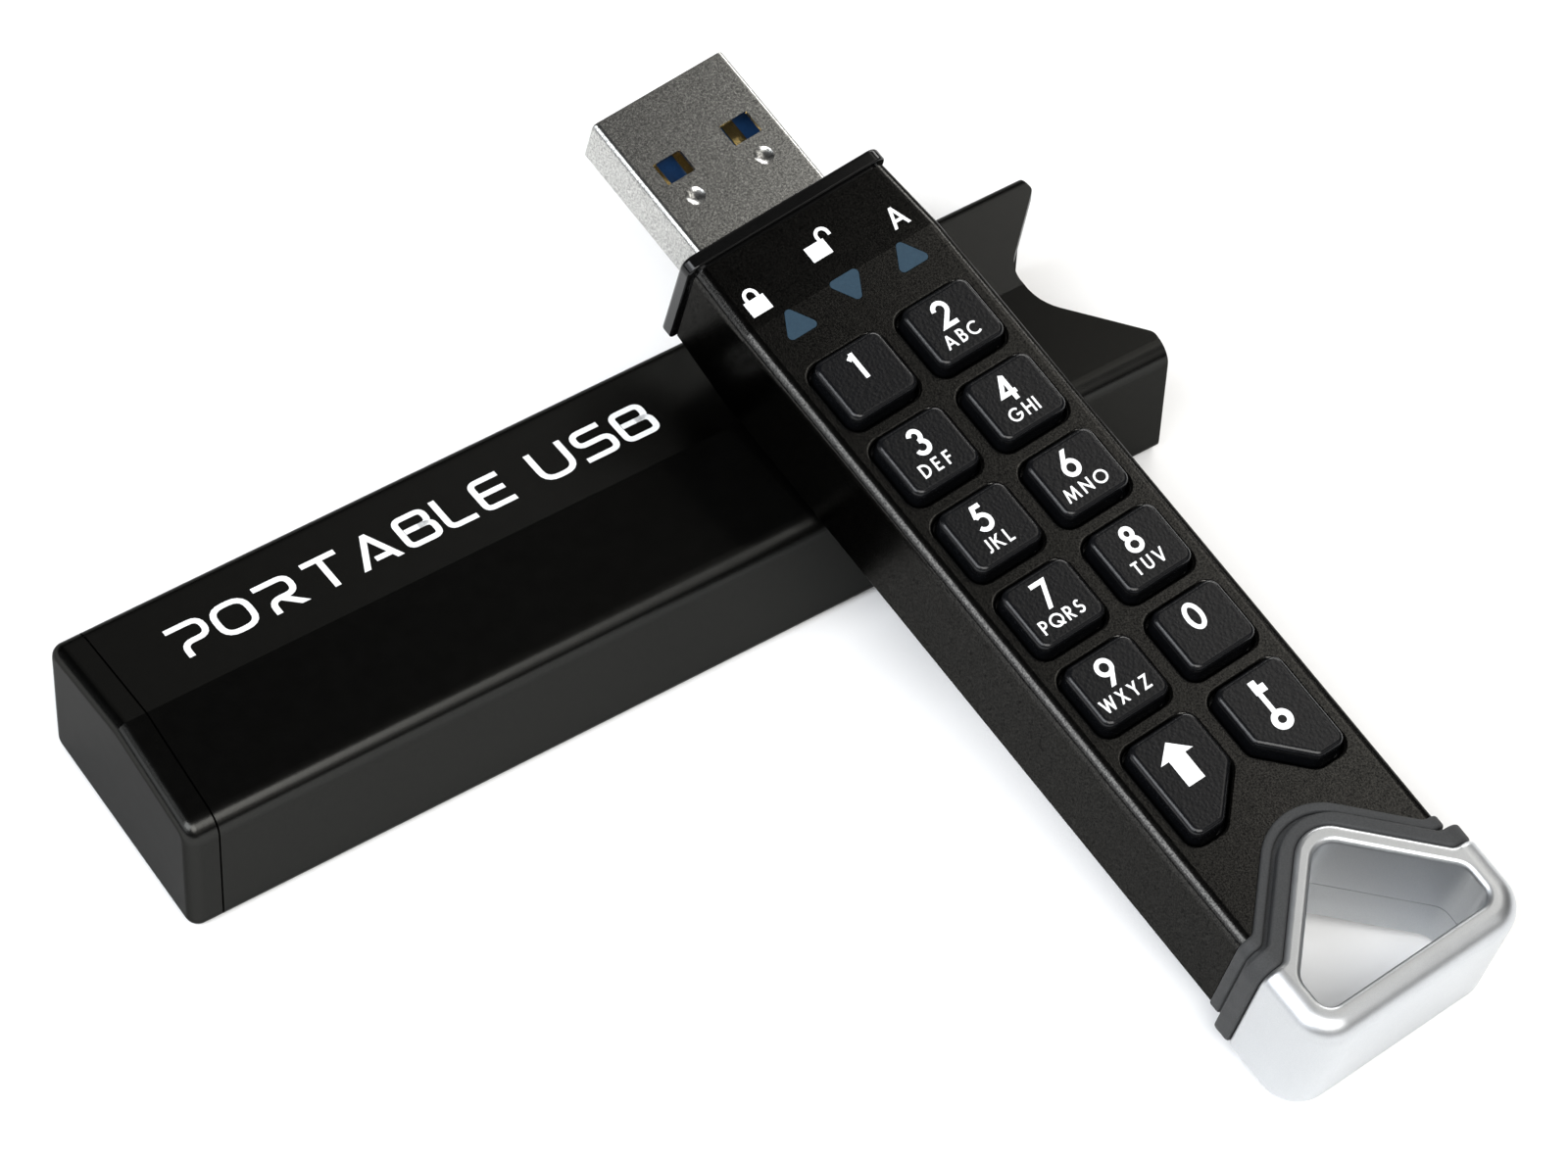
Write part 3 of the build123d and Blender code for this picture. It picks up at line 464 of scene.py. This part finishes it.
def print_film(name, shapes, place, up, body):
    """A thin layer of white ink; place turns a flat point into a point on the surface."""
    mesh = bmesh.new()
    for layer, quads in enumerate(shapes):
        sheet = bmesh.new()
        for quad in quads:
            sheet.faces.new([sheet.verts.new(place(p[0], p[1]) - up * FILM_SINK * MM) for p in quad])
        bmesh.ops.remove_doubles(sheet, verts=sheet.verts, dist=SAME_POINT)
        bmesh.ops.dissolve_degenerate(sheet, edges=sheet.edges, dist=NO_LENGTH)
        lifted = bmesh.ops.extrude_face_region(sheet, geom=sheet.faces[:])
        tops = [item for item in lifted["geom"] if isinstance(item, bmesh.types.BMVert)]
        bmesh.ops.translate(sheet, vec=up * (FILM_SINK + FILM_RISE + layer * FILM_STEP) * MM, verts=tops)
        bmesh.ops.recalc_face_normals(sheet, faces=sheet.faces)
        data = bpy.data.meshes.new("stroke")
        sheet.to_mesh(data)
        mesh.from_mesh(data)
        bpy.data.meshes.remove(data)
        sheet.free()
    data = bpy.data.meshes.new(name)
    mesh.to_mesh(data)
    mesh.free()
    piece = bpy.data.objects.new(name, data)
    bpy.context.scene.collection.objects.link(piece)
    data.materials.append(INK)
    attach(piece, body)


# Heights of the printed faces and the layout of the keypad, in the drive's own axes.
ROOF_TOP = 9.87
KEY_TOP = 11.07
KEY_X = 3.985
KEYPAD_TOP = -12.35
KEY_PITCH = 7.17
DIGIT_CAP = 2.25
DIGIT_WEIGHT = 0.36
DIGIT_BASE = -2.98
LABEL_CAP = 1.1
LABEL_WEIGHT = 0.165
LABEL_BASE = -4.47
LEGEND_SHIFT = -0.24

# Each numbered key: its digit, the letters below it and their length.
KEYS = [("1", "", 0), ("2", "ABC", 3.1), ("3", "DEF", 2.75), ("4", "GHI", 2.5), ("5", "JKL", 2.4),
        ("6", "MNO", 3.8), ("7", "PQRS", 3.75), ("8", "TUV", 2.9), ("9", "WXYZ", 4.3), ("0", "", 0)]


def key_face(x, y):
    return on_drive(x, y, KEY_TOP)


def roof_face(x, y):
    return on_drive(x, y, ROOF_TOP)


def centred(text, cap, weight, x, base):
    """A line of text set tight, with its middle at x."""
    shapes, length = set_text(text, LETTERS, cap, weight, 0)
    return shifted(shapes, x - length / 2, base)


def stretched(text, letters, cap, weight, length):
    """A line of text spaced out evenly to a given length."""
    tight = set_text(text, letters, cap, weight, 0)[1]
    gap = (length - tight) / (len(text) - 1) / (cap - weight)
    return set_text(text, letters, cap, weight, gap)[0]


def add_key_legends():
    for index, (digit, label, length) in enumerate(KEYS):
        x = KEY_X * (1 if index % 2 else -1) + LEGEND_SHIFT
        front = KEYPAD_TOP - KEY_PITCH * (index // 2)
        shapes = centred(digit, DIGIT_CAP, DIGIT_WEIGHT, x, front + DIGIT_BASE)
        if label:
            line = stretched(label, LETTERS, LABEL_CAP, LABEL_WEIGHT, length)
            shapes += shifted(line, x - length / 2, front + LABEL_BASE)
        print_film(f"legend_{digit}", shapes, key_face, UP, f"key_{digit}")


def block(left, right, low, high):
    return [Vector((left, low)), Vector((right, low)), Vector((right, high)), Vector((left, high))]


# The arrow and the key printed on the last two keys.
ARROW_X = -4.23
ARROW_TIP = -49.4
ARROW_NECK = -50.72
ARROW_BASE = -52.98
ARROW_HALF_WIDTH = 1.45
SHAFT_HALF_WIDTH = 0.735
KEY_SIGN_X = 3.8
RING_SHIFT = 0.12
RING_Y = -52.57
RING_RADIUS = 0.58
RING_WEIGHT = 0.5
SHANK_HALF_WIDTH = 0.2
SHANK_LOW = -52.12
BLADE_LOW = -50.22
BLADE_HIGH = -49.08
BLADE_HALF_WIDTH = 0.29
TOOTH_HIGH = -49.57
TOOTH_REACH = 0.74


def add_arrow_sign():
    head = [
        Vector((ARROW_X - ARROW_HALF_WIDTH, ARROW_NECK)),
        Vector((ARROW_X + ARROW_HALF_WIDTH, ARROW_NECK)),
        Vector((ARROW_X, ARROW_TIP)),
    ]
    shaft = block(ARROW_X - SHAFT_HALF_WIDTH, ARROW_X + SHAFT_HALF_WIDTH, ARROW_BASE, ARROW_NECK)
    print_film("legend_arrow", [[head, shaft]], key_face, UP, "key_arrow")


def add_key_sign():
    x = KEY_SIGN_X
    ring = ribbon(arc(x + RING_SHIFT, RING_Y, RING_RADIUS, RING_RADIUS, 0, 360), RING_WEIGHT)
    blade = [
        block(x - BLADE_HALF_WIDTH, x + BLADE_HALF_WIDTH, BLADE_LOW, BLADE_HIGH),
        block(x + BLADE_HALF_WIDTH, x + TOOTH_REACH, BLADE_LOW, TOOTH_HIGH),
    ]
    shank = [block(x - SHANK_HALF_WIDTH, x + SHANK_HALF_WIDTH, SHANK_LOW, BLADE_LOW)]
    print_film("legend_unlock", [ring, blade, shank], key_face, UP, "key_unlock")


# The padlocks and the letter printed above the three lights.
LOCK_HALF_WIDTH = 0.87
LOCK_HEIGHT = 1.3
SHACKLE_START = 1.2
SHACKLE_TOP = 1.55
SHACKLE_HALF_WIDTH = 0.48
SHACKLE_HEIGHT = 0.5
SHACKLE_WEIGHT = 0.27
LOCKED_X = -6.58
LOCKED_BASE = -6.71
LOCKED_LEG = -5.5
UNLOCKED_X = -0.16
UNLOCKED_BASE = -5.49
UNLOCKED_SHACKLE_X = 0.88
UNLOCKED_LEG = -4.2
ACTIVITY_X = 6.34
ACTIVITY_BASE = -6.53
ACTIVITY_CAP = 1.72
ACTIVITY_WEIGHT = 0.25


def padlock(x, base, shackle_x, leg):
    """A padlock's body and shackle; leg is the height at which the right leg ends."""
    body = [block(x - LOCK_HALF_WIDTH, x + LOCK_HALF_WIDTH, base, base + LOCK_HEIGHT)]
    hoop = arc(shackle_x, base + SHACKLE_TOP, SHACKLE_HALF_WIDTH, SHACKLE_HEIGHT, 180, 0)
    left_end = (shackle_x - SHACKLE_HALF_WIDTH, base + SHACKLE_START)
    right_end = (shackle_x + SHACKLE_HALF_WIDTH, leg)
    return [body, ribbon([left_end] + hoop + [right_end], SHACKLE_WEIGHT)]


def add_housing_icons():
    locked = padlock(LOCKED_X, LOCKED_BASE, LOCKED_X, LOCKED_LEG)
    unlocked = padlock(UNLOCKED_X, UNLOCKED_BASE, UNLOCKED_SHACKLE_X, UNLOCKED_LEG)
    activity = centred("A", ACTIVITY_CAP, ACTIVITY_WEIGHT, ACTIVITY_X, ACTIVITY_BASE)
    print_film("icon_locked", locked, roof_face, UP, "drive")
    print_film("icon_unlocked", unlocked, roof_face, UP, "drive")
    print_film("icon_activity", activity, roof_face, UP, "drive")


# The words on the back slope of the sleeve's roof.
PRINT_TEXT = "PORTABLE USB"
SLEEVE_RIDGE = 13.2
SLEEVE_EDGE = 11.75
SLEEVE_HALF_WIDTH = 9.95
SLEEVE_SLOPE = (SLEEVE_RIDGE - SLEEVE_EDGE) / SLEEVE_HALF_WIDTH
PRINT_START = -34.3
PRINT_LENGTH = 39.9
PRINT_BASE = 2.75
PRINT_CAP = 3.3
PRINT_WEIGHT = 0.49


def sleeve_face(x, y):
    return Vector((x, y, SLEEVE_RIDGE - SLEEVE_SLOPE * abs(y))) * MM


def add_sleeve_print():
    shapes = stretched(PRINT_TEXT, WIDE_LETTERS, PRINT_CAP, PRINT_WEIGHT, PRINT_LENGTH)
    shapes = shifted([shape for shape in shapes if shape], PRINT_START, PRINT_BASE)
    print_film("sleeve_print", shapes, sleeve_face, Vector((0, 0, 1)), "sleeve")


INK = grained("white_ink", (0.70, 0.71, 0.72), (0.86, 0.87, 0.88), 0.15, 0.002, 0.45, 0.6)

bpy.context.scene.view_settings.view_transform = "Standard"
add_camera()
add_lights()
add_floor()
add_materials()
add_key_legends()
add_arrow_sign()
add_key_sign()
add_housing_icons()
add_sleeve_print()

bpy.context.view_layer.update()
